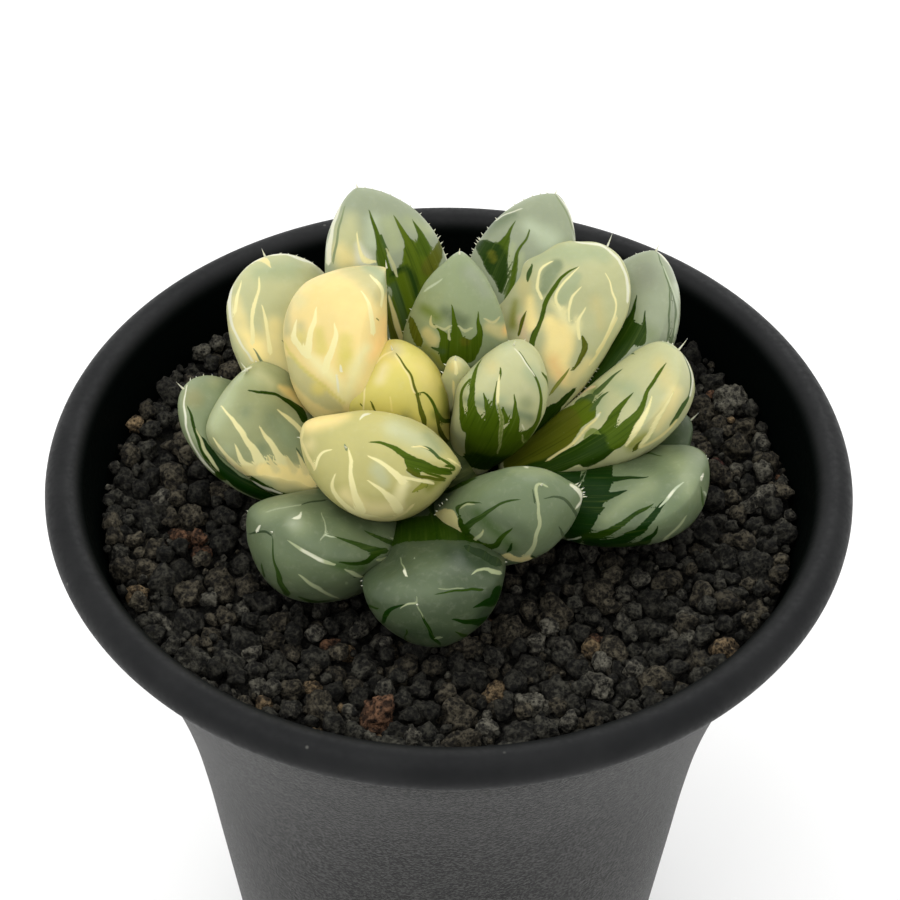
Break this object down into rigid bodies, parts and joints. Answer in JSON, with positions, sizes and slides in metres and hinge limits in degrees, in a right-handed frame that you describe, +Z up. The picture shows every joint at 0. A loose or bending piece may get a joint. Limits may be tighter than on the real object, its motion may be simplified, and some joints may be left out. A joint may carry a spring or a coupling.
{
  "type": "potted haworthia",
  "caption": "Rosette of thick striped window leaves in a round plastic pot filled with dark gravel.",
  "frame": {"origin": "centre of the pot's foot, on the surface that it stands on", "axes": "+Z up the pot's axis, -Y towards the front of the plant in the picture, +X to its right"},
  "size_m": [0.09, 0.09, 0.1125],
  "materials": {
    "pot_plastic": "smooth black lip, finely speckled grey-black body",
    "gravel": "rough porous gravel with a few rust and tan grains",
    "stem": "fleshy and pale",
    "leaf_green": "satin, translucent, grey-green with dark green and cream stripes",
    "leaf_cream": "satin, translucent, cream with green stripes"
  },
  "bodies": {
    "root": {"pot": "pot_plastic", "soil": "gravel", "stem": "stem", "leaf_bud": "leaf_cream", "leaf_heart_left": "leaf_cream", "leaf_heart_right": "leaf_green", "leaf_inner_front_left": "leaf_cream", "leaf_inner_front_right": "leaf_green", "leaf_inner_left": "leaf_cream", "leaf_inner_right": "leaf_cream", "leaf_inner_back": "leaf_green", "leaf_right": "leaf_cream", "leaf_left": "leaf_green", "leaf_front": "leaf_green", "leaf_front_left": "leaf_green", "leaf_front_right": "leaf_green", "leaf_back_far_left": "leaf_cream", "leaf_back_far_right": "leaf_green", "leaf_back_left": "leaf_green", "leaf_back_right": "leaf_green", "leaf_outer_left": "leaf_green", "leaf_outer_right": "leaf_green", "leaf_outer_back": "leaf_green", "leaf_outer_back_left": "leaf_green", "leaf_outer_back_right": "leaf_green"}
  },
  "joints": []
}
